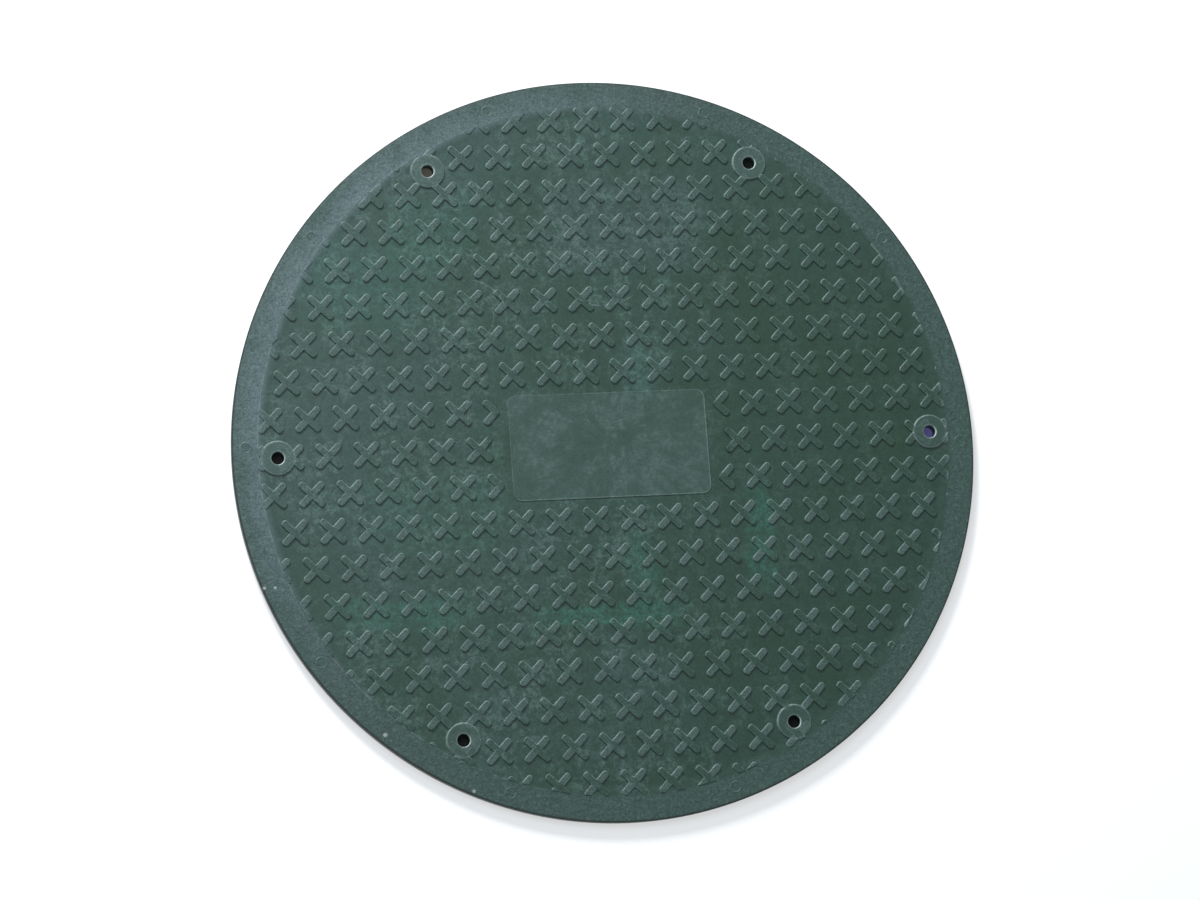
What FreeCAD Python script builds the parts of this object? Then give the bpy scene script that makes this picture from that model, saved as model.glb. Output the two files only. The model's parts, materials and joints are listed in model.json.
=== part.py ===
import FreeCAD, Part
import math
import os

# Driving dimensions, in millimetres and degrees.

# Plate and rim
cover_diameter = 711.2
field_thickness = 10.8
rim_height = 1.0
rim_width = 24.6
rim_ramp_run = 1.0

# Anti-slip tread: rows of small crosses, every second row shifted by half a pitch
tread_pitch = 35.4
tread_row_spacing = 35.4
cross_length = 31.8
cross_bar_width = 7.2
cross_height = 1.8
cross_turn = 45.0
least_cross_share = 0.3
tread_rim_gap = 0.5

# Bolt holes in round bosses
bolt_circle_diameter = 626.0
bolt_count = 6
bolt_hole_diameter = 12.0
boss_diameter = 33.4
boss_height = 1.9

# Nameplate panel in the middle of the tread
panel_length = 190.5
panel_width = 101.6
panel_corner_cut = 5.0
panel_height = 0.5
panel_tread_gap = 5.5

# Places that follow from the driving dimensions
cover_radius = cover_diameter / 2
rim_inner_radius = cover_radius - rim_width
ramp_foot_radius = rim_inner_radius - rim_ramp_run
rim_level = field_thickness + rim_height
boss_level = field_thickness + boss_height
top_level = field_thickness + max(rim_height, boss_height, cross_height)
axis_up = FreeCAD.Vector(0, 0, 1)


def point(x, y, z=0.0):
    return FreeCAD.Vector(x, y, z)


def block(length, width, height):
    return Part.makeBox(length, width, height, point(-length / 2, -width / 2))


def bolt_points():
    # The first hole lies on +X, in line with the middle row of the tread.
    places = []
    for index in range(bolt_count):
        angle = 2 * math.pi * index / bolt_count
        x = bolt_circle_diameter / 2 * math.cos(angle)
        y = bolt_circle_diameter / 2 * math.sin(angle)
        places.append((x, y))
    return places


def tread_points():
    # The lattice is centred on the cover: the middle row straddles the centre.
    rows = math.ceil(cover_radius / tread_row_spacing)
    columns = math.ceil(cover_radius / tread_pitch)
    places = []
    for row in range(-rows, rows + 1):
        shift = tread_pitch / 2 if row % 2 == 0 else 0.0
        for column in range(-columns - 1, columns + 1):
            places.append((column * tread_pitch + shift, row * tread_row_spacing))
    return places


def cross_arms(x, y, panel_way):
    # Two equal bars, turned from the rows and drawn arm by arm round the middle:
    # the notch before each arm, the two corners of the arm's end and the end of its crest.
    # An arm that points to the panel, which lies panel_way along X, keeps only its notch.
    half_length = cross_length / 2
    half_width = cross_bar_width / 2
    middle = point(x, y, field_thickness)
    arms = []
    for quarter in range(4):
        turn = math.radians(cross_turn + 90 * quarter)
        along = point(math.cos(turn), math.sin(turn))
        across = point(-math.sin(turn), math.cos(turn))
        notch = middle + along * half_width - across * half_width
        right = middle + along * half_length - across * half_width
        left = middle + along * half_length + across * half_width
        crest = middle + along * (half_length - half_width) + axis_up * cross_height
        whole = along.x * panel_way < 0.1
        arms.append((notch, right, left, crest) if whole else (notch,))
    return arms


def flat_face(corners):
    return Part.Face(Part.makePolygon(corners + corners[:1]))


def cross_land(arms):
    outline = []
    for arm in arms:
        outline.extend(arm[:3])
    return flat_face(outline)


def cross_solid(arms, x, y):
    # Each bar rises to a crest along its middle and slopes down at both ends.
    crown = point(x, y, field_thickness + cross_height)
    faces = [cross_land(arms)]
    for index, arm in enumerate(arms):
        next_notch = arms[(index + 1) % 4][0]
        if len(arm) == 1:
            faces.append(flat_face([arm[0], next_notch, crown]))
            continue
        notch, right, left, crest = arm
        faces.append(flat_face([notch, right, crest, crown]))
        faces.append(flat_face([right, left, crest]))
        faces.append(flat_face([left, next_notch, crown, crest]))
    return Part.makeSolid(Part.makeShell(faces))


def rim_trim(x, y):
    # A block that starts just inside the ramp, square to the line from the centre to the cross.
    inner_face = point(ramp_foot_radius - tread_rim_gap, -cross_length)
    trim = Part.makeBox(cover_diameter, 2 * cross_length, top_level, inner_face)
    trim.rotate(point(0, 0), axis_up, math.degrees(math.atan2(y, x)))
    return trim


def tread_solids():
    # Crosses keep clear of the panel and stop at the foot of the ramp, and run into the bosses.
    # Beside the panel they lose the arms that point to it, and above and below it they are cut.
    # One that keeps too little of its land beside the rim and the bosses is left out.
    clear_x = panel_length / 2 + panel_tread_gap
    clear_y = panel_width / 2 + panel_tread_gap
    margin = block(2 * clear_x, 2 * clear_y, top_level)
    bosses = Part.makeCompound(boss_solids())
    solids = []
    for x, y in tread_points():
        if abs(x) < clear_x and abs(y) < clear_y:
            continue
        beside_panel = abs(y) < clear_y and abs(x) < clear_x + cross_length / 2
        panel_way = -math.copysign(1, x) if beside_panel else 0
        arms = cross_arms(x, y, panel_way)
        land = cross_land(arms)
        trim = rim_trim(x, y)
        if land.cut(trim).cut(bosses).Area > least_cross_share * land.Area:
            solids.append(cross_solid(arms, x, y).cut(margin).cut(trim))
    return solids


def plate_solid():
    # Half section of the plate, the raised rim and the ramp that leads down to the field.
    section = [
        point(0, 0, 0),
        point(cover_radius, 0, 0),
        point(cover_radius, 0, rim_level),
        point(rim_inner_radius, 0, rim_level),
        point(ramp_foot_radius, 0, field_thickness),
        point(0, 0, field_thickness),
    ]
    return flat_face(section).revolve(point(0, 0), axis_up, 360)


def panel_solid():
    panel = block(panel_length, panel_width, field_thickness + panel_height)
    upright = [edge for edge in panel.Edges if edge.BoundBox.ZLength > panel_height]
    return panel.makeChamfer(panel_corner_cut, upright)


def boss_solids():
    return [Part.makeCylinder(boss_diameter / 2, boss_level, point(x, y)) for x, y in bolt_points()]


def hole_solids():
    return [Part.makeCylinder(bolt_hole_diameter / 2, top_level, point(x, y)) for x, y in bolt_points()]


def cover_solid():
    body = plate_solid().multiFuse(tread_solids() + boss_solids() + [panel_solid()])
    return body.cut(Part.makeCompound(hole_solids())).removeSplitter()


os.makedirs("parts", exist_ok=True)
cover = cover_solid()
cover.exportStep("parts/cover.step")
print("cover", len(cover.Solids), "solid,", round(cover.Volume / 1000), "cm3, valid", cover.isValid())
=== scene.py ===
import bmesh
import bpy
import json
import math
from mathutils import Matrix, Vector


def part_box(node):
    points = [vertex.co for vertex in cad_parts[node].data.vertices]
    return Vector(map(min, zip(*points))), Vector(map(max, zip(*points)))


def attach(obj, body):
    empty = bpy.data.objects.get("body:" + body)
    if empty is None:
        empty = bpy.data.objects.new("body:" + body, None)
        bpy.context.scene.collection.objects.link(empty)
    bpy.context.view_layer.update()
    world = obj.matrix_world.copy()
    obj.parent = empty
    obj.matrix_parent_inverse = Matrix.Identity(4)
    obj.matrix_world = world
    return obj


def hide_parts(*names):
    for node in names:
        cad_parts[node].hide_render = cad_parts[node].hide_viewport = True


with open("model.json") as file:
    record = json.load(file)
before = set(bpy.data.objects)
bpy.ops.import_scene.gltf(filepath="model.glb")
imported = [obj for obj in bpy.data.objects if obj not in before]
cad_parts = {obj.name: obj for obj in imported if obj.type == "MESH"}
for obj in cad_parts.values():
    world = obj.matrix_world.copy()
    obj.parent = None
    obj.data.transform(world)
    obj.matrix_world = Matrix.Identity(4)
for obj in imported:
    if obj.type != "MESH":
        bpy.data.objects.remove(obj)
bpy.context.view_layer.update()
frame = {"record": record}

from types import SimpleNamespace

mm = 0.001
coverLow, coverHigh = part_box("cover")
boltCircle = next(mount for mount in frame["record"]["mounts"] if mount["name"] == "bolt_circle")
boltCount = boltCircle["dims"]["count"]
boltCircleRadius = boltCircle["dims"]["pcd_mm"] / 2 * mm
holeRadius = boltCircle["dims"]["hole_r_mm"] * mm
print("frame loaded, cover is %.1f mm across" % ((coverHigh.x - coverLow.x) / mm))


# selecting and editing, as by hand

nearlyStraight = 0.9                      # cosine from which a face counts as level and an edge as upright


def deselectAll():
    if bpy.context.mode != "OBJECT":
        bpy.ops.object.mode_set(mode="OBJECT")
    bpy.ops.object.select_all(action="DESELECT")


def selectOnly(*pieces):
    deselectAll()
    for piece in pieces:
        piece.select_set(True)
    bpy.context.view_layer.objects.active = pieces[0]


def openMesh(piece):
    selectOnly(piece)
    bpy.ops.object.mode_set(mode="EDIT")


def closeMesh():
    bpy.ops.object.mode_set(mode="OBJECT")


def pickFaces(test):
    bpy.ops.mesh.select_mode(type="FACE")
    bpy.ops.mesh.select_all(action="DESELECT")
    editMesh = bmesh.from_edit_mesh(bpy.context.object.data)
    for face in editMesh.faces:
        face.select_set(test(face.calc_center_median(), face.normal))
    bmesh.update_edit_mesh(bpy.context.object.data)


def pickEdges(test):
    bpy.ops.mesh.select_mode(type="EDGE")
    bpy.ops.mesh.select_all(action="DESELECT")
    editMesh = bmesh.from_edit_mesh(bpy.context.object.data)
    for edge in editMesh.edges:
        edge.select_set(test(edge.verts[0].co, edge.verts[1].co))
    bmesh.update_edit_mesh(bpy.context.object.data)


def facesUp(centre, normal):
    return normal.z > nearlyStraight


def facesDown(centre, normal):
    return normal.z < -nearlyStraight


def isUpright(start, end):
    return abs(start.z - end.z) > (start - end).length * nearlyStraight


def insetSteps(steps):
    for inward, rise in steps:
        bpy.ops.mesh.inset(thickness=inward, depth=rise)


def quarterRound(run, rise, count):       # from an upright wall over to a level top
    turns = [math.pi / 2 * index / count for index in range(count + 1)]
    return [(run * (math.cos(a) - math.cos(b)), rise * (math.sin(b) - math.sin(a)))
            for a, b in zip(turns, turns[1:])]


def easedSlope(run, rise, count):         # level at both ends
    shares = [(1 - math.cos(math.pi * index / count)) / 2 for index in range(count + 1)]
    return [(run / count, rise * (b - a)) for a, b in zip(shares, shares[1:])]


def addBlock(length, width, bottom, top):
    deselectAll()
    bpy.ops.mesh.primitive_cube_add(size=1, location=(0, 0, (bottom + top) / 2))
    block = bpy.context.object
    block.scale = (length, width, top - bottom)
    bpy.ops.object.transform_apply(location=True, rotation=True, scale=True)
    return block


def addDisc(segments, radius, bottom, top):
    deselectAll()
    bpy.ops.mesh.primitive_cylinder_add(vertices=segments, radius=radius, depth=top - bottom,
                                        location=(0, 0, (bottom + top) / 2))
    bpy.ops.object.transform_apply(location=True, rotation=True, scale=True)
    return bpy.context.object


def spreadCopies(pattern, places):        # one object of separate copies, the pattern itself removed
    copies = []
    for x, y in places:
        selectOnly(pattern)
        bpy.ops.object.duplicate(linked=False)
        copy = bpy.context.object
        copy.location = (x, y, 0)
        copies.append(copy)
    bpy.data.objects.remove(pattern)
    selectOnly(*copies)
    bpy.ops.object.transform_apply(location=True, rotation=True, scale=True)
    bpy.ops.object.join()
    return bpy.context.object


def combine(piece, tool, operation):
    selectOnly(piece)
    step = piece.modifiers.new("combine", "BOOLEAN")
    step.operation = operation
    step.solver = "MANIFOLD"
    step.object = tool
    bpy.ops.object.modifier_apply(modifier=step.name)
    bpy.data.objects.remove(tool)


def ringPlaces(radius, count, firstAngle=0.0):
    angles = [firstAngle + 2 * math.pi * index / count for index in range(count)]
    return [(radius * math.cos(angle), radius * math.sin(angle)) for angle in angles]


# plate with its raised rim

plate = {
    "segments": 256,
    "fieldLevel": 10.8 * mm,
    "rimRise": 1.0 * mm,
    "proud": 0.05 * mm,                   # how far the raised parts stand clear before they are shaped
    "rimWidth": 24.4 * mm,
    "rampRun": 10.0 * mm,
    "rampSteps": 5,
    "edgeRound": 1.8 * mm,
    "edgeSteps": 4,
    "footChamfer": 0.8 * mm,
    "levelRing": 1.5 * mm,                # keeps the shading of the ramp off the flat field
    "levelTolerance": 0.01 * mm,
}
rimLevel = plate["fieldLevel"] + plate["rimRise"]
rimInnerRadius = coverHigh.x - plate["rimWidth"]
rampFootRadius = rimInnerRadius - plate["rampRun"]
pinCircleRadius = 342.3 * mm


def makePlate():
    wallTop = rimLevel - plate["edgeRound"]
    cover = addDisc(plate["segments"], coverHigh.x, plate["footChamfer"], wallTop)
    cover.name = "cover_moulding"
    openMesh(cover)
    pickFaces(facesDown)
    insetSteps([(plate["footChamfer"], plate["footChamfer"])])
    pickFaces(facesUp)
    insetSteps(quarterRound(plate["edgeRound"], plate["edgeRound"], plate["edgeSteps"]))
    outerLand = coverHigh.x - plate["edgeRound"] - plate["levelRing"] - pinCircleRadius
    innerLand = pinCircleRadius - rimInnerRadius - plate["levelRing"]
    insetSteps([(plate["levelRing"], 0), (outerLand, 0), (innerLand, 0), (plate["levelRing"], 0)])
    insetSteps(easedSlope(plate["rampRun"], -plate["rimRise"], plate["rampSteps"]))
    insetSteps([(plate["levelRing"], 0)])
    gridField()
    for index in range(boltCount // 2):
        turn = 2 * math.pi * index / boltCount
        pickFaces(facesDown)
        bpy.ops.mesh.bisect(plane_co=(0, 0, 0), plane_no=(-math.sin(turn), math.cos(turn), 0))
    closeMesh()
    return cover


def gridField():                          # cuts the field through the middle of each cross and between them
    spacing = tread["pitch"] / 2
    reach = int(coverHigh.x / spacing)
    level = plate["fieldLevel"]
    for index in range(-reach, reach + 1):
        for direction in (Vector((1, 0, 0)), Vector((0, 1, 0))):
            pickFaces(lambda centre, normal: facesUp(centre, normal)
                      and abs(centre.z - level) < plate["levelTolerance"]
                      and centre.length < rampFootRadius - plate["levelRing"])
            bpy.ops.mesh.bisect(plane_co=direction * index * spacing, plane_no=direction)


# nameplate panel, bare, with a fine bead along its edge

panel = {
    "length": 190.5 * mm,
    "width": 101.6 * mm,
    "height": 0.5 * mm,
    "cornerRadius": 8.5 * mm,
    "cornerSteps": 6,
    "edgeRun": 0.5 * mm,
    "beadRun": 0.6 * mm,
    "beadRise": 0.25 * mm,
    "treadGap": 5.5 * mm,
    "root": 2.0 * mm,                     # how deep it reaches into the plate
}
panelClearX = panel["length"] / 2 + panel["treadGap"]
panelClearY = panel["width"] / 2 + panel["treadGap"]


def makePanel():
    level = plate["fieldLevel"] + plate["proud"]
    pad = addBlock(panel["length"], panel["width"], level - panel["root"], level)
    openMesh(pad)
    pickEdges(isUpright)
    bpy.ops.mesh.bevel(offset=panel["cornerRadius"], segments=panel["cornerSteps"], affect="EDGES")
    pickFaces(facesUp)
    insetSteps([(panel["edgeRun"], panel["height"] + panel["beadRise"] - plate["proud"])])
    insetSteps([(panel["beadRun"] / 2, 0), (panel["beadRun"], -panel["beadRise"]), (panel["beadRun"], 0)])
    closeMesh()
    return pad


# tread of small crosses in staggered rows

tread = {
    "pitch": 35.4 * mm,
    "length": 31.8 * mm,
    "barWidth": 7.4 * mm,                 # at its foot
    "height": 1.8 * mm,
    "draft": 0.3 * mm,
    "draftRise": 1.0 * mm,
    "crownRun": 1.2 * mm,
    "crownSteps": 2,
    "endSteps": 2,
    "endRound": 0.40,                     # share of the bar's width
    "turn": math.radians(45),
    "root": 1.0 * mm,
    "rimGap": 0.4 * mm,                   # crosses are cut off this far inside the rim
    "nearEnd": 0.99,                      # share of the way out from which an edge belongs to an end
}


def makeCross(side=0):                    # beside the panel a cross has only the arms on its far side
    level = plate["fieldLevel"] + plate["proud"]
    cross = addBlock(tread["barWidth"], tread["barWidth"], level - tread["root"], level)
    armReach = (tread["length"] - tread["barWidth"]) / 2
    armEnd = tread["length"] / 2
    openMesh(cross)
    pickFaces(lambda centre, normal: not facesUp(centre, normal) and not facesDown(centre, normal)
              and (normal.x + normal.y) * side >= 0)
    bpy.ops.mesh.extrude_faces_move(TRANSFORM_OT_shrink_fatten={"value": armReach})
    pickEdges(lambda start, end: isUpright(start, end) and (
              max(abs(start.x), abs(start.y)) > armEnd * tread["nearEnd"]
              or (start.x + start.y) * side < -tread["barWidth"] * tread["nearEnd"]))
    endRadius = tread["barWidth"] * tread["endRound"]
    bpy.ops.mesh.bevel(offset=endRadius, segments=tread["endSteps"], affect="EDGES")
    bpy.ops.mesh.select_all(action="SELECT")
    bpy.ops.transform.rotate(value=tread["turn"], orient_axis="Z", center_override=(0, 0, 0))
    pickFaces(facesDown)
    bpy.ops.mesh.dissolve_faces()
    pickFaces(facesUp)
    bpy.ops.mesh.dissolve_faces()
    insetSteps([(tread["draft"], tread["draftRise"])])
    crownRise = tread["height"] - tread["draftRise"] - plate["proud"]
    insetSteps(quarterRound(tread["crownRun"], crownRise, tread["crownSteps"]))
    closeMesh()
    return cross


def makeTread():
    halfSpan = tread["length"] / 2 * math.cos(tread["turn"])
    reach = math.ceil(coverHigh.x / tread["pitch"])
    whole, cutLeft, cutRight = [], [], []
    for row in range(-reach, reach + 1):
        shift = 0.5 if row % 2 == 0 else 0.0
        for column in range(-reach - 1, reach + 1):
            x, y = (column + shift) * tread["pitch"], row * tread["pitch"]
            if math.hypot(x, y) > rimInnerRadius + tread["length"] / 2:
                continue
            besidePanel = abs(y) < panelClearY and abs(x) - halfSpan < panelClearX
            if not besidePanel:
                whole.append((x, y))
            elif abs(x) > panelClearX:
                (cutRight if x > 0 else cutLeft).append((x, y))
    groups = [spreadCopies(makeCross(), whole)]
    insideRim = addDisc(plate["segments"], rimInnerRadius - tread["rimGap"], 0, coverHigh.z)
    combine(groups[0], insideRim, "INTERSECT")
    groups.append(spreadCopies(makeCross(1), cutRight))
    groups.append(spreadCopies(makeCross(-1), cutLeft))
    print("tread of %d crosses, %d of them cut beside the panel" % (
        len(whole) + len(cutLeft) + len(cutRight), len(cutLeft) + len(cutRight)))
    return groups


# bosses and bolt holes

boss = {
    "segments": 64,
    "diameter": 33.4 * mm,
    "height": 1.9 * mm,
    "draft": 0.3 * mm,
    "draftRise": 1.0 * mm,
    "crownRun": 1.1 * mm,
    "crownSteps": 3,
    "root": 2.0 * mm,
    "holeSegments": 48,
    "holeFlare": 1.0 * mm,
    "holeFlareDepth": 0.8 * mm,
    "clear": 3.0 * mm,                    # how far the drill reaches past the cover
}
boltPlaces = ringPlaces(boltCircleRadius, boltCount)
bossLevel = plate["fieldLevel"] + boss["height"]


def makeBosses():
    level = plate["fieldLevel"] + plate["proud"]
    knob = addDisc(boss["segments"], boss["diameter"] / 2, level - boss["root"], level)
    openMesh(knob)
    pickFaces(facesUp)
    insetSteps([(boss["draft"], boss["draftRise"])])
    crownRise = boss["height"] - boss["draftRise"] - plate["proud"]
    insetSteps(quarterRound(boss["crownRun"], crownRise, boss["crownSteps"]))
    insetSteps([(plate["levelRing"], 0)])
    for direction in (Vector((1, 0, 0)), Vector((0, 1, 0))):
        pickFaces(facesUp)
        bpy.ops.mesh.bisect(plane_co=(0, 0, 0), plane_no=direction)
    closeMesh()
    return spreadCopies(knob, boltPlaces)


def makeHoles():
    drill = addDisc(boss["holeSegments"], holeRadius, -boss["clear"], bossLevel - boss["holeFlareDepth"])
    openMesh(drill)
    pickFaces(facesUp)
    spread = (holeRadius + 2 * boss["holeFlare"]) / holeRadius
    bpy.ops.mesh.extrude_region_move(TRANSFORM_OT_translate={"value": (0, 0, 2 * boss["holeFlareDepth"])})
    bpy.ops.transform.resize(value=(spread, spread, 1), center_override=(0, 0, 0))
    bpy.ops.mesh.extrude_region_move(TRANSFORM_OT_translate={"value": (0, 0, boss["clear"])})
    closeMesh()
    return spreadCopies(drill, boltPlaces)


# faint ring marks that the mould's pins left on the rim

pinMark = {
    "count": 10,
    "firstAngle": math.radians(34.2),
    "segments": 28,
    "radius": 6.3 * mm,
    "ridgeRun": 1.1 * mm,
    "ridgeRise": 0.55 * mm,
    "ridgeTop": 0.4 * mm,
    "sunk": 0.1 * mm,                     # foot of the ridge below the rim
    "root": 1.0 * mm,
}


def makePinMarks():
    level = rimLevel - pinMark["sunk"]
    ring = addDisc(pinMark["segments"], pinMark["radius"], level - pinMark["root"], level)
    openMesh(ring)
    pickFaces(facesUp)
    insetSteps([(pinMark["ridgeRun"], pinMark["ridgeRise"]), (pinMark["ridgeTop"], 0)])
    insetSteps([(pinMark["ridgeRun"], -pinMark["ridgeRise"])])
    closeMesh()
    return spreadCopies(ring, ringPlaces(pinCircleRadius, pinMark["count"], pinMark["firstAngle"]))


# one moulding

finish = {"smoothAngle": math.radians(48), "mergeDistance": 0.002 * mm}


def makeCover():
    cover = makePlate()
    combine(cover, makePanel(), "UNION")
    combine(cover, makeBosses(), "UNION")
    for group in makeTread():
        combine(cover, group, "UNION")
    combine(cover, makePinMarks(), "UNION")
    combine(cover, makeHoles(), "DIFFERENCE")
    openMesh(cover)
    bpy.ops.mesh.select_all(action="SELECT")
    bpy.ops.mesh.remove_doubles(threshold=finish["mergeDistance"])
    bpy.ops.mesh.normals_make_consistent(inside=False)
    closeMesh()
    bpy.ops.object.shade_smooth_by_angle(angle=finish["smoothAngle"])
    steady = cover.modifiers.new("steadyNormals", "WEIGHTED_NORMAL")
    steady.keep_sharp = True
    bpy.ops.object.modifier_apply(modifier=steady.name)
    print("moulding has %d faces" % len(cover.data.polygons))
    return cover


cover = makeCover()
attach(cover, "root")
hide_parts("cover")


# shader wires

lineCore = 0.35                           # share of a line's half width that is solid
noiseMean = 0.5


class Wire:
    def __init__(self, tree, socket=None):
        self.tree = tree
        self.socket = socket

    def node(self, kind, settings=None, inputs=None, output=0):
        made = self.tree.nodes.new("ShaderNode" + kind)
        for name, value in (settings or {}).items():
            setattr(made, name, value)
        for name, value in (inputs or {}).items():
            if isinstance(value, Wire):
                self.tree.links.new(value.socket, made.inputs[name])
            else:
                made.inputs[name].default_value = value
        return Wire(self.tree, made.outputs[output])

    def sum(self, operation, first, second=0.0):
        return self.node("Math", {"operation": operation}, {0: first, 1: second})

    def __add__(self, other):
        return self.sum("ADD", self, other)

    def __sub__(self, other):
        return self.sum("SUBTRACT", self, other)

    def __rsub__(self, other):
        return self.sum("SUBTRACT", other, self)

    def __mul__(self, other):
        return self.sum("MULTIPLY", self, other)

    def __abs__(self):
        return self.sum("ABSOLUTE", self)

    __radd__ = __add__
    __rmul__ = __mul__

    def largest(self, other):
        return self.sum("MAXIMUM", self, other)

    def smallest(self, other):
        return self.sum("MINIMUM", self, other)

    def root(self):
        return self.sum("SQRT", self)

    def nearest(self):
        return self.sum("ROUND", self)

    def oddness(self):                    # 1 on odd numbers, 0 on even ones
        return self.sum("FLOORED_MODULO", self, 2.0)

    def centred(self):                    # a noise, swinging about 0
        return self - noiseMean

    def spread(self, low, high):          # low where this is 0, high where it is 1
        return low + (high - low) * self

    def rise(self, low, high):            # 0 below low, 1 above high, eased between
        return self.node("MapRange", {"interpolation_type": "SMOOTHSTEP"},
                         {"Value": self, "From Min": low, "From Max": high}, "Result")

    def fall(self, low, high):
        return 1 - self.rise(low, high)

    def line(self, middle, halfWidth):    # 1 along a line where this value is the middle one
        return abs(self - middle).fall(halfWidth * lineCore, halfWidth)

    def parts(self):                      # the three numbers of a vector
        split = self.node("SeparateXYZ", None, {0: self})
        return [Wire(self.tree, socket) for socket in split.socket.node.outputs]

    def toward(self, way):                # how far a vector goes this way
        return self.node("VectorMath", {"operation": "DOT_PRODUCT"}, {0: self, 1: way}, "Value")

    def mix(self, share, first, second):  # a Mix node's factor and colours are its sockets 0, 6 and 7
        return self.node("Mix", {"data_type": "RGBA"}, {0: share, 6: first, 7: second}, 2)

    def tint(self, colour, share):        # this colour, with a share of another over it
        return self.mix(share, self, (*colour, 1))

    def noise(self, scale, detail, roughness, output="Fac"):
        return self.node("TexNoise", None,
                         {"Vector": self, "Scale": scale, "Detail": detail, "Roughness": roughness}, output)


# weathered green moulding

weather = {
    "green": (0.0275, 0.066, 0.049),
    "oldGreen": (0.0240, 0.059, 0.039),   # the darker green of the field
    "deepGreen": (0.0180, 0.047, 0.030),
    "stainGreen": (0.040, 0.132, 0.096),
    "haze": (0.110, 0.180, 0.160),        # rubbed by many fine scratches
    # pale dust in the washes, and the painted sheen of the field's veil
    "dustAndSheen": (0.100, 0.144, 0.150),
    "rimGrey": (0.055, 0.096, 0.085),
    "rimGreen": (0.040, 0.088, 0.070),
    # pale dust of the rim, with its painted sheen at the upper left
    "rimDustAndSheen": (0.118, 0.170, 0.178),
    "landGrey": (0.077, 0.126, 0.112),    # rubbed tops of the raised parts, and the painted highlight of the rising bars
    # pale of worn edges, grain and scratches, and of the painted highlights
    "paleWearAndHighlight": (0.240, 0.320, 0.300),
    "shade": (0.014, 0.022, 0.018),       # painted shade in the holes, on the outer wall, at the top of the rim and on the pin rings; also the rim's dark grain
    "scuff": (0.42, 0.47, 0.45),
    "burrAndHighlight": (0.60, 0.70, 0.66),           # pale burr on the edge of the bolt holes, with a painted highlight on the side that faces the lamp
    "rimStart": 330.9 * mm,               # where the grained rim meets the smooth field
    "highlightSide": (-0.55, 0.83, 0.0),       # edges that face this way, towards the lamp, get painted highlights, and the pin rings painted shade on their other side
    # the painted highlight of the bolt holes goes on edges that face this way
    "holeHighlightSide": (-0.90, 0.42, 0.0),
}


def distance(x, y, middleX, middleY):
    dx, dy = x - middleX, y - middleY
    return (dx * dx + dy * dy).root()


# masks of the parts of the surface: heights for the top, for the others distances from their edges

edges = {
    "top": (2 * mm, 8 * mm),
    "rim": (-3 * mm, 4 * mm),
    "field": (-0.6 * mm, 0.8 * mm),
    "margin": (-0.2 * mm, 0.0),
    "cross": (-0.5 * mm, 0.1 * mm),
    "arm": (-0.6 * mm, 0.2 * mm),
    "besideX": (15 * mm, 16 * mm),        # crosses with two arms lie within this of the panel's margin
    "besideY": (-1 * mm, 0.0),
    "boss": (-0.6 * mm, 0.1 * mm),
    "panel": (-0.4 * mm, 0.2 * mm),
}


def roundedBox(u, v, halfLength, halfWidth, corner):      # distance from the edge, negative inside
    overU = (u - (halfLength - corner)).largest(0.0)
    overV = (v - (halfWidth - corner)).largest(0.0)
    return (overU * overU + overV * overV).root() - corner


def crossPlaces(x, y):                    # along and across the rising bar of the nearest cross
    row = (y * (1 / tread["pitch"])).nearest()
    shift = 0.5 - 0.5 * row.oddness()
    column = (x * (1 / tread["pitch"]) - shift).nearest() + shift
    dx, dy = x - column * tread["pitch"], y - row * tread["pitch"]
    diagonal = math.cos(tread["turn"])
    towardMiddle = (abs(dy) - abs(x) + abs(column * tread["pitch"])) * diagonal
    return abs((dx + dy) * diagonal), abs((dx - dy) * diagonal), towardMiddle


def pinPlace(x, y, radius):               # distance from the middle of the nearest ring mark
    step = 2 * math.pi / pinMark["count"]
    turn = y.sum("ARCTAN2", y, x) - pinMark["firstAngle"]
    sideways = (turn - (turn * (1 / step)).nearest() * step) * pinCircleRadius
    outward = radius - pinCircleRadius
    return (sideways * sideways + outward * outward).root()


def maskCrosses(at):
    overX, overY = abs(at.x) - panelClearX, abs(at.y) - panelClearY
    outsideMargin = overX.rise(*edges["margin"]).largest(overY.rise(*edges["margin"]))
    besidePanel = overX.fall(*edges["besideX"]) * overY.fall(*edges["besideY"])
    along, across, towardMiddle = crossPlaces(at.x, at.y)
    halfBar, halfLength = tread["barWidth"] / 2, tread["length"] / 2
    endRadius = tread["barWidth"] * tread["endRound"]
    rising = roundedBox(along, across, halfLength, halfBar, endRadius)
    falling = roundedBox(across, along, halfLength, halfBar, endRadius)
    armGone = besidePanel * (towardMiddle - halfBar).rise(*edges["cross"])
    at.crossEdge = rising.smallest(falling)
    at.onCross = at.crossEdge.fall(*edges["cross"]) * outsideMargin * at.onField * (1 - armGone)
    at.onRising = at.onCross * rising.fall(*edges["cross"]) * (along - halfBar).rise(*edges["arm"])


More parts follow.
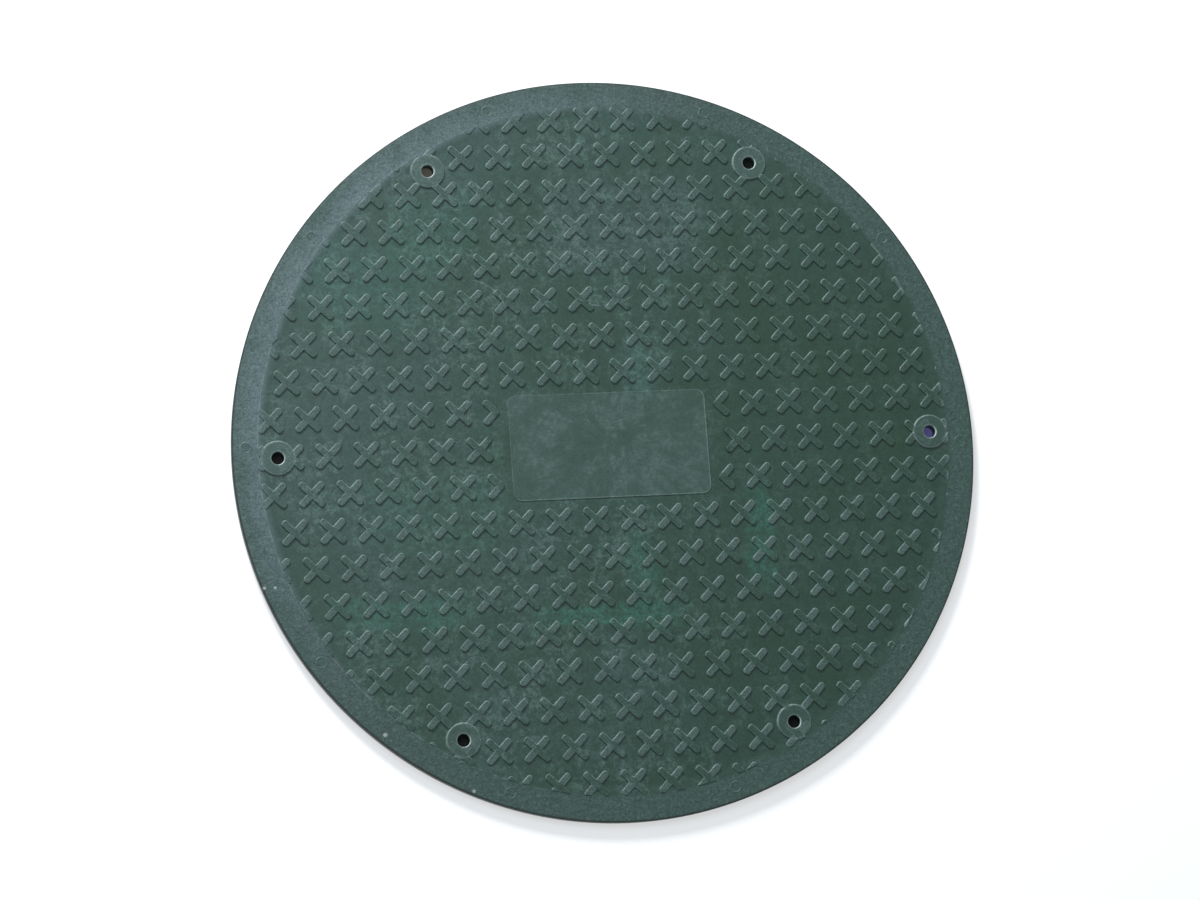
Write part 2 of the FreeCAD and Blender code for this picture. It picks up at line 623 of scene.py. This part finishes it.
def maskSurface(start):
    at = SimpleNamespace(place=start.node("TexCoord", output="Object"))
    at.normal = start.node("NewGeometry", output="Normal")
    at.x, at.y, at.z = at.place.parts()
    at.radius = (at.x * at.x + at.y * at.y).root()
    at.rimEdge = at.radius - weather["rimStart"]
    at.onTop = at.z.rise(*edges["top"])
    at.onRim = at.rimEdge.rise(*edges["rim"]) * at.onTop
    at.onField = at.rimEdge.fall(*edges["field"]) * at.onTop
    maskCrosses(at)
    boltPlace = distance(at.x, at.y, *boltPlaces[0])
    for middle in boltPlaces[1:]:
        boltPlace = boltPlace.smallest(distance(at.x, at.y, *middle))
    at.holeEdge = boltPlace - holeRadius
    at.bossEdge = boltPlace - boss["diameter"] / 2
    at.onBoss = at.bossEdge.fall(*edges["boss"]) * at.onTop
    panelHalf = panel["length"] / 2, panel["width"] / 2
    at.panelEdge = roundedBox(abs(at.x), abs(at.y), *panelHalf, panel["cornerRadius"])
    at.onPanel = at.panelEdge.fall(*edges["panel"]) * at.onTop
    at.pinPlace = pinPlace(at.x, at.y, at.radius)
    return at


# noises at the sizes seen on the real surface: scale, detail and roughness

noiseSizes = {
    "clouds": (9, 4, 0.55),
    "blotches": (34, 5, 0.65),
    "tufts": (150, 5, 0.70),
    "specks": (270, 3, 0.60),
    "pebbles": (320, 4, 0.65),
    "grain": (620, 2, 0.60),
}
brush = {
    "bendNoise": (30, 4, 0.65),           # breaks up the outlines of the patches
    "bendReach": 50 * mm,
    "hairs": [                            # noises, and the line that is kept of each
        ((52, 6, 0.66), (0.50, 0.026)),
        ((95, 6, 0.66), (0.47, 0.030)),
    ],
    "fleckSpecks": (0.50, 0.58),
    "fleckTufts": (0.36, 0.56),
    "softTufts": (0.42, 0.64),
    "softShare": 0.22,
}


def makeNoises(place):
    noises = SimpleNamespace(**{name: place.noise(*size) for name, size in noiseSizes.items()})
    reach = brush["bendReach"]
    bent = place.node("VectorMath", {"operation": "MULTIPLY_ADD"},
                      {0: place.noise(*brush["bendNoise"], "Color"), 1: (reach, reach, 0), 2: place})
    noises.bentX, noises.bentY = [part - reach * noiseMean for part in bent.parts()[:2]]
    longHairs, shortHairs = [place.noise(*size).line(*line) for size, line in brush["hairs"]]
    flecks = longHairs.largest(shortHairs).largest(noises.specks.rise(*brush["fleckSpecks"]))
    flecks = flecks * noises.tufts.rise(*brush["fleckTufts"])
    soft = noises.tufts.rise(*brush["softTufts"])
    noises.brushed = flecks * (1 - brush["softShare"]) + soft * brush["softShare"]
    return noises


# smooth field with its stains

fieldPaint = {
    "clouds": (0.35, 0.65),
    "deepWay": (0.9, -0.4, 0.0),          # the field is darker this way
    "deepRange": (0.0, 0.24),
    "deepShare": 0.36,
    "veilWay": (-1.0, 1.0, 0.0),          # painted sheen with some dust: paler this way and towards the rim
    "veilRange": (-0.10, 0.55),
    "veilRadii": (200 * mm, 335 * mm),
    "veilSpread": (0.25, 1.0),
    "veilShare": 0.21,
    "washSpread": (0.25, 1.0),            # between the brush marks, and on them
    "stainSpread": (0.24, 1.0),
    "hazeBlotches": (0.44, 0.62),
    "hazeReach": (-60 * mm, 260 * mm),
    "hazeSpread": (0.25, 1.0),
    "hazeShare": 0.62,
    "patchCore": 0.55,                    # shares of a patch's half size where it starts to fade and ends
    "patchEnd": 1.35,
}
# brushed stains in millimetres: middle x, middle y, half length, half width, then the share
stains = [
    (-12, -163, 70, 13, 0.95),
    (-205, -150, 64, 15, 0.75),
    (138, -95, 12, 46, 0.90),
    (24, -118, 12, 26, 0.65),
    (-215, 165, 70, 45, 0.40),
    (-150, 215, 40, 30, 0.35),
    (-170, -60, 70, 40, 0.35),
    (33, 68, 14, 32, 0.40),
]
# pale washes of dust, in the same order
washes = [
    (30, 215, 80, 45, 0.45),
    (-140, 135, 60, 50, 0.12),
    (-210, 40, 90, 70, 0.18),
    (-150, -90, 120, 70, 0.25),
    (-60, -250, 120, 60, 0.25),
    (33, 68, 16, 34, 0.40),
]
# places where the field is painted darker, in the same order
darkPlaces = [
    (-80, 85, 60, 42, 0.34),
    (108, -108, 60, 60, 0.30),
    (108, 0, 18, 50, 0.32),
    (-108, 0, 18, 50, 0.26),
]


def patchSide(place, middle, halfSize):
    core, end = halfSize * fieldPaint["patchCore"], halfSize * fieldPaint["patchEnd"]
    return abs(place - middle * mm).fall(core * mm, end * mm)


def paintPatches(colour, patches, pigment, noises, strength):
    for middleX, middleY, halfLength, halfWidth, share in patches:
        patch = patchSide(noises.bentX, middleX, halfLength) * patchSide(noises.bentY, middleY, halfWidth)
        colour = colour.tint(pigment, patch * strength * share)
    return colour


def paintField(start, at, noises):
    look = fieldPaint
    clouds = noises.clouds.rise(*look["clouds"])
    colour = start.mix(clouds, (*weather["oldGreen"], 1), (*weather["green"], 1))
    deep = at.place.toward(look["deepWay"]).rise(*look["deepRange"])
    colour = colour.tint(weather["deepGreen"], deep * at.onTop * look["deepShare"])
    # painted sheen with some dust, palest towards the upper left and the rim
    veil = at.place.toward(look["veilWay"]).rise(*look["veilRange"])
    veil = veil * at.radius.rise(*look["veilRadii"]).spread(*look["veilSpread"])
    colour = colour.tint(weather["dustAndSheen"], veil * at.onTop * look["veilShare"])
    washed = noises.brushed.spread(*look["washSpread"]) * at.onTop
    colour = paintPatches(colour, washes, weather["dustAndSheen"], noises, washed)
    haze = noises.brushed * noises.blotches.rise(*look["hazeBlotches"])
    haze = haze * at.x.fall(*look["hazeReach"]).spread(*look["hazeSpread"])
    colour = colour.tint(weather["haze"], haze * at.onTop * look["hazeShare"])
    colour = paintPatches(colour, darkPlaces, weather["oldGreen"], noises, at.onTop)
    stained = noises.brushed.spread(*look["stainSpread"]) * at.onTop
    return paintPatches(colour, stains, weather["stainGreen"], noises, stained)


# rubbed panel, crosses and bosses, with painted highlights on the rising bars and on edges that face the lamp

raisedPaint = {
    "panelBlotches": (0.35, 0.65),
    "panelShare": (0.26, 0.50),
    "crossShare": 0.15,
    "risingClouds": (0.3, 0.7),           # painted highlight: the bars that rise to the right are painted palest, as the light from the upper left falls on them
    "risingShare": (0.60, 1.0),
    "lowerReach": (-150 * mm, 100 * mm),  # paler towards the lower edge of the cover
    "lowerShare": (0.70, 1.0),
    "dullX": (20 * mm, 150 * mm),         # duller at the right
    "dullY": (-90 * mm, 0.0),
    "dullShare": (1.0, 0.35),
    "bossReach": (-100 * mm, 200 * mm),
    "bossShare": (0.30, 0.50),
    "edgeHighlightFacing": (0.0, 0.45),
    "crossLine": (-0.5 * mm, 1.0 * mm),   # a rubbed line with a painted highlight: its distance from the edge, and its half width
    "crossWearAndHighlight": (0.15, 0.75),
    "bossLine": (-0.8 * mm, 1.4 * mm),
    "bossWearAndHighlight": (0.32, 1.20),
    "panelLine": (-0.8 * mm, 0.8 * mm),
    "panelWear": 0.28,
    "cutRadii": (327 * mm, 330 * mm),     # ends of the crosses that the rim cuts off at the right
    "cutReach": (200 * mm, 290 * mm),
    "cutWear": 0.5,
    "wearAndHighlightSpecks": (0.35, 0.60),
    "wearAndHighlightShare": (0.5, 1.0),
}


def paintRaised(colour, at, noises):
    look = raisedPaint
    panelShare = noises.blotches.rise(*look["panelBlotches"]).spread(*look["panelShare"])
    colour = colour.tint(weather["landGrey"], at.onPanel * panelShare)
    colour = colour.tint(weather["landGrey"], at.onCross * look["crossShare"])
    # painted highlight on the bars that rise to the right
    pale = noises.clouds.rise(*look["risingClouds"]).spread(*look["risingShare"])
    pale = pale * at.y.fall(*look["lowerReach"]).spread(*look["lowerShare"])
    dull = at.x.rise(*look["dullX"]) * at.y.rise(*look["dullY"])
    colour = colour.tint(weather["landGrey"], at.onRising * pale * dull.spread(*look["dullShare"]))
    bossShare = at.y.rise(*look["bossReach"]).spread(*look["bossShare"])
    colour = colour.tint(weather["landGrey"], at.onBoss * bossShare)
    # painted highlight on edges that face the lamp, over an even rubbed line
    facingHighlight = at.normal.toward(weather["highlightSide"]).rise(*look["edgeHighlightFacing"])
    cutEnds = at.onCross * at.radius.rise(*look["cutRadii"]) * at.x.rise(*look["cutReach"])
    rubbedAndLit = (at.crossEdge.line(*look["crossLine"]) * at.onCross * facingHighlight.spread(*look["crossWearAndHighlight"])
              + at.bossEdge.line(*look["bossLine"]) * at.onTop * facingHighlight.spread(*look["bossWearAndHighlight"])
              + at.panelEdge.line(*look["panelLine"]) * at.onTop * look["panelWear"]
              + cutEnds * look["cutWear"])
    rubbedAndLit = rubbedAndLit * noises.specks.rise(*look["wearAndHighlightSpecks"]).spread(*look["wearAndHighlightShare"])
    return colour.tint(weather["paleWearAndHighlight"], rubbedAndLit.smallest(1.0))


# grained rim, with dust and a painted sheen at the upper left and along its inner edge, and painted shade and
# highlights

rimPaint = {
    "greyShare": 0.90,
    "outward": (332 * mm, 354 * mm),
    "dustAndSheenWay": (-0.83, 0.55, 0.0),
    "dustAndSheenRange": (0.02, 0.36),
    "dustAndSheenEdge": (-9 * mm, 3 * mm),
    "dustAndSheenShare": (0.95, 0.38),
    "farRange": (-0.30, 0.05),            # greener on the side away from the dust and painted sheen
    "farShare": 0.40,
    "greenBlotches": (0.46, 0.66),
    "greenShare": (0.3, 0.7),
    "palePebbles": (0.50, 0.70),
    "paleShare": 0.16,
    "darkPebbles": (0.30, 0.50),
    "darkShare": 0.28,
    "topReach": (250 * mm, 350 * mm),
    "topShade": 0.12,
    "pinInside": (3.8 * mm, 4.8 * mm),
    "pinInsideShare": 0.6,
    "pinLine": (4.9 * mm, 2.0 * mm),
    "pinShaded": (-0.30, -0.05),
    "pinShade": 0.40,
    "pinLit": (0.05, 0.30),
    "pinHighlight": 0.45,
    "seamLine": (0.4 * mm, 0.9 * mm),
    "seamReach": (-200 * mm, 20 * mm),
    "seamTufts": (0.35, 0.60),
    "seamShare": 0.30,
    "wallEdge": (-2.4 * mm, -0.9 * mm),
    "wallShade": 0.80,
}


def paintRim(colour, at, noises):
    look = rimPaint
    dustAndSheenSide = at.place.toward(look["dustAndSheenWay"])
    outward = at.radius.rise(*look["outward"])
    colour = colour.tint(weather["rimGrey"], at.onRim * look["greyShare"])
    # dust with a painted sheen on the rim and just inside it, palest at the upper left
    dustAndSheenMask = at.rimEdge.rise(*look["dustAndSheenEdge"]) * at.onTop * dustAndSheenSide.rise(*look["dustAndSheenRange"])
    colour = colour.tint(weather["rimDustAndSheen"], dustAndSheenMask * outward.spread(*look["dustAndSheenShare"]))
    greener = noises.blotches.rise(*look["greenBlotches"]) * outward.spread(*look["greenShare"])
    greener = greener.largest(dustAndSheenSide.fall(*look["farRange"]) * look["farShare"])
    colour = colour.tint(weather["rimGreen"], at.onRim * greener)
    palePebbles = noises.pebbles.rise(*look["palePebbles"])
    darkPebbles = noises.pebbles.fall(*look["darkPebbles"])
    colour = colour.tint(weather["paleWearAndHighlight"], at.onRim * palePebbles * look["paleShare"])
    colour = colour.tint(weather["shade"], at.onRim * darkPebbles * look["darkShare"])
    # painted shade at the top of the rim, where the lamp is nearest
    colour = colour.tint(weather["shade"], at.onRim * at.y.rise(*look["topReach"]) * look["topShade"])
    colour = paintPinMarks(colour, at)
    # painted highlight along the rim's inner edge on the left, where that edge faces the lamp
    seamHighlight = at.rimEdge.line(*look["seamLine"]) * at.onTop * at.x.fall(*look["seamReach"])
    seamHighlight = seamHighlight * noises.tufts.rise(*look["seamTufts"])
    colour = colour.tint(weather["paleWearAndHighlight"], seamHighlight * look["seamShare"])
    # painted shade along the outer edge and wall
    wall = (at.radius - coverHigh.x).rise(*look["wallEdge"])
    return colour.tint(weather["shade"], wall * look["wallShade"])


def paintPinMarks(colour, at):
    look = rimPaint
    inside = at.pinPlace.fall(*look["pinInside"])
    colour = colour.tint(weather["rimGreen"], inside * at.onRim * look["pinInsideShare"])
    ring = at.pinPlace.line(*look["pinLine"]) * at.onRim
    # painted highlight on the side of each ring that faces the lamp, painted shade on the side away from it
    facing = at.normal.toward(weather["highlightSide"])
    colour = colour.tint(weather["shade"], ring * facing.fall(*look["pinShaded"]) * look["pinShade"])
    return colour.tint(weather["paleWearAndHighlight"], ring * facing.rise(*look["pinLit"]) * look["pinHighlight"])


# bolt holes, scratches and scuffs

markPaint = {
    "holeEdge": (0.0, 0.3 * mm),
    "holeShade": 0.40,
    "burrAndHighlightLine": (0.5 * mm, 1.1 * mm),
    "burrAndHighlightHeights": (8.5 * mm, 11 * mm),
    "holeHighlightFacing": (0.05, 0.50),
    "burrAndHighlightShare": (0.15, 1.0),
    "scratchHalfWidth": 0.7 * mm,
    "scratchReach": (15 * mm, 42 * mm),
    "scratchTufts": (0.40, 0.60),
    "scratchShare": 0.38,
    "scuffSwing": 3 * mm,
    "scuffCore": 0.5,                     # share of a scuff's size that is solid
    "scuffShare": 0.8,
}
# fine scratches in millimetres: middle of the arc x, y, its radius, and the spot it shows at x, y
scratches = [
    (-130, 130, 28, -112, 110),
    (-126, 128, 36, -100, 150),
    (3, 176, 41, 3, 138),
    (3, 177, 44, 40, 158),
    (-60, 20, 74, -122, 48),
]
# pale scuffs in millimetres: x, y, size
scuffs = [(-332, -120.6, 2.2), (-322, -121, 1.8), (-228.4, -262, 2.6), (-150, -318, 2.0)]


def paintMarks(colour, at, noises):
    look = markPaint
    # painted shade inside the bolt holes
    colour = colour.tint(weather["shade"], at.holeEdge.fall(*look["holeEdge"]) * look["holeShade"])
    # a pale burr with a painted highlight on the side of each hole that faces the lamp
    burrAndHighlight = at.holeEdge.line(*look["burrAndHighlightLine"]) * at.z.rise(*look["burrAndHighlightHeights"])
    facing = at.normal.toward(weather["holeHighlightSide"]).rise(*look["holeHighlightFacing"])
    colour = colour.tint(weather["burrAndHighlight"], burrAndHighlight * facing.spread(*look["burrAndHighlightShare"]))
    broken = noises.tufts.rise(*look["scratchTufts"]) * at.onTop * look["scratchShare"]
    for middleX, middleY, arcRadius, spotX, spotY in scratches:
        arc = distance(at.x, at.y, middleX * mm, middleY * mm).line(arcRadius * mm, look["scratchHalfWidth"])
        near = distance(at.x, at.y, spotX * mm, spotY * mm).fall(*look["scratchReach"])
        colour = colour.tint(weather["paleWearAndHighlight"], arc * near * broken)
    for middleX, middleY, size in scuffs:
        spot = distance(at.x, at.y, middleX * mm, middleY * mm) + noises.specks.centred() * look["scuffSwing"]
        solid = spot.fall(size * look["scuffCore"] * mm, size * mm)
        colour = colour.tint(weather["scuff"], solid * at.onTop * look["scuffShare"])
    return colour


# fine grain and sheen

surface = {
    "specular": 0.28,
    "roughness": 0.42,
    "roughBlotches": 0.20,
    "roughSpecks": 0.15,
    "roughRim": 0.08,
    "valueGrain": 1.0,                    # swings of brightness
    "valueCross": 1.0,
    "valueRim": 0.6,
    "valueTufts": 0.7,
    "valueSpecks": 0.5,
    "bumpDistance": mm,
    "rimPebbles": 0.60,                   # swings of height
    "rimGrain": 0.30,
    "fieldTufts": 0.15,
    "fieldGrain": 0.10,
}


def makeMouldedGreen():
    material = bpy.data.materials.new("weathered_green_moulding")
    material.use_nodes = True
    tree = material.node_tree
    start = Wire(tree)
    at = maskSurface(start)
    noises = makeNoises(at.place)
    colour = paintField(start, at, noises)
    colour = paintRaised(colour, at, noises)
    colour = paintRim(colour, at, noises)
    colour = paintMarks(colour, at, noises)

    blotches, tufts, specks = noises.blotches.centred(), noises.tufts.centred(), noises.specks.centred()
    pebbles, grain = noises.pebbles.centred(), noises.grain.centred()
    grainSwing = surface["valueGrain"] + at.onCross * surface["valueCross"] + at.onRim * surface["valueRim"]
    value = 1 + grain * grainSwing + tufts * surface["valueTufts"]
    value = value + at.onRim * specks * surface["valueSpecks"]
    fine = colour.node("HueSaturation", None, {"Color": colour, "Value": value})
    roughness = blotches * surface["roughBlotches"] + specks * surface["roughSpecks"] + surface["roughness"]
    roughness = roughness + at.onRim * surface["roughRim"]
    rimHeight = pebbles * surface["rimPebbles"] + grain * surface["rimGrain"]
    fieldHeight = tufts * surface["fieldTufts"] + grain * surface["fieldGrain"]
    height = at.onRim * rimHeight + (1 - at.onRim) * fieldHeight
    bump = start.node("Bump", None,
                      {"Strength": 1.0, "Distance": surface["bumpDistance"], "Height": height}, "Normal")
    shader = tree.nodes["Principled BSDF"]
    for name, wire in (("Base Color", fine), ("Roughness", roughness), ("Normal", bump)):
        tree.links.new(wire.socket, shader.inputs[name])
    shader.inputs["Specular IOR Level"].default_value = surface["specular"]
    return material


cover.data.materials.clear()
cover.data.materials.append(makeMouldedGreen())
print("moulding painted")


# floor, light and camera

stage = {
    "floorSize": 12.0,
    "floorLevel": -0.2 * mm,              # just clear of the underside
    "floorColour": (0.80, 0.80, 0.80),
    "floorLift": 0.50,                    # what the camera sees on top of the floor's own light
    "shadowUnderCover": (0.05, 0.05, 0.045),    # painted shadow under the cover, seen through the bolt holes
    "underRadii": (335 * mm, 345 * mm),   # where that painted shadow ends
    "holeRadii": (8 * mm, 10 * mm),       # where the painted light under a hole ends
    "skyStrength": 0.25,
    "skyColour": (0.96, 1.0, 1.04),
}
white, black = (1, 1, 1), (0, 0, 0)
# bolt holes with painted light on the ground below them: which hole, and its colour
holeGrounds = [
    (0, (0.090, 0.090, 0.230)),
    (2, (0.090, 0.083, 0.068)),
]
lamps = [
    {"place": (-0.84, 2.36, 1.70), "size": 0.7, "power": 76.0, "colour": (0.98, 1.0, 1.02)},
    {"place": (-0.45, 0.35, 1.6), "size": 0.8, "power": 5.0, "colour": (0.86, 1.0, 1.12)},
]


def seenDirectly(start):
    rays = start.node("LightPath", output="Is Camera Ray").socket.node.outputs
    camera, glossy, clear = (Wire(start.tree, rays[name]) for name in
                             ("Is Camera Ray", "Is Glossy Ray", "Is Transmission Ray"))
    return camera.largest(glossy).largest(clear)


def makeFloor():
    deselectAll()
    bpy.ops.mesh.primitive_plane_add(size=stage["floorSize"], location=(0, 0, stage["floorLevel"]))
    floor = bpy.context.object
    floor.name = "floor"
    material = bpy.data.materials.new("pale_floor")
    material.use_nodes = True
    tree = material.node_tree
    tree.nodes.remove(tree.nodes["Principled BSDF"])
    start = Wire(tree)
    x, y = start.node("TexCoord", output="Object").parts()[:2]
    # painted shadow on the ground under the cover, with painted light under two bolt holes
    clear = distance(x, y, 0, 0).rise(*stage["underRadii"])
    colour = start.mix(clear, (*stage["shadowUnderCover"], 1), (*stage["floorColour"], 1))
    lifted = clear
    for index, ground in holeGrounds:
        below = distance(x, y, *boltPlaces[index]).fall(*stage["holeRadii"])
        colour = colour.tint(ground, below)
        lifted = lifted + below
    paint = start.node("BsdfDiffuse", None, {"Color": colour})
    seen = colour.tint(white, clear).tint(black, 1 - seenDirectly(start) * lifted)
    lift = start.node("Emission", None, {"Color": seen, "Strength": stage["floorLift"]})
    both = start.node("AddShader", None, {0: paint, 1: lift})
    tree.links.new(both.socket, tree.nodes["Material Output"].inputs["Surface"])
    floor.data.materials.append(material)


def makeSky():
    world = bpy.data.worlds.new("studio")
    bpy.context.scene.world = world
    world.use_nodes = True
    tree = world.node_tree
    start = Wire(tree)
    direct = seenDirectly(start)
    sky = tree.nodes["Background"]
    strength = direct + (1 - direct) * stage["skyStrength"]
    tree.links.new(strength.socket, sky.inputs["Strength"])
    sky.inputs["Color"].default_value = (*stage["skyColour"], 1)


def makeLamp(place, size, power, colour):
    bpy.ops.object.light_add(type="AREA", location=place)
    lamp = bpy.context.object
    lamp.rotation_euler = Vector(place).to_track_quat("Z", "Y").to_euler()
    lamp.data.size = size
    lamp.data.energy = power
    lamp.data.color = colour


photoView = {
    "place": (-0.5285, -0.5145, 2.8986),
    "aim": (-0.0098, -0.0049, 0.0124),
    "roll": math.radians(4.126),
    "lens": 94.605,
    "sensor": 36.0,
}


def makeCamera():
    back = (Vector(photoView["place"]) - Vector(photoView["aim"])).normalized()
    level = Vector((0, 1, 0)).cross(back).normalized()
    up = Matrix.Rotation(-photoView["roll"], 3, back) @ back.cross(level)
    right = up.cross(back)
    bpy.ops.object.camera_add()
    camera = bpy.context.object
    turn = Matrix((right, up, back)).transposed().to_4x4()
    camera.matrix_world = Matrix.Translation(photoView["place"]) @ turn
    camera.data.sensor_fit = "HORIZONTAL"
    camera.data.sensor_width = photoView["sensor"]
    camera.data.lens = photoView["lens"]
    bpy.context.scene.camera = camera


makeFloor()
makeSky()
for lamp in lamps:
    makeLamp(**lamp)
makeCamera()
bpy.context.scene.view_settings.view_transform = "Standard"
print("stage set")
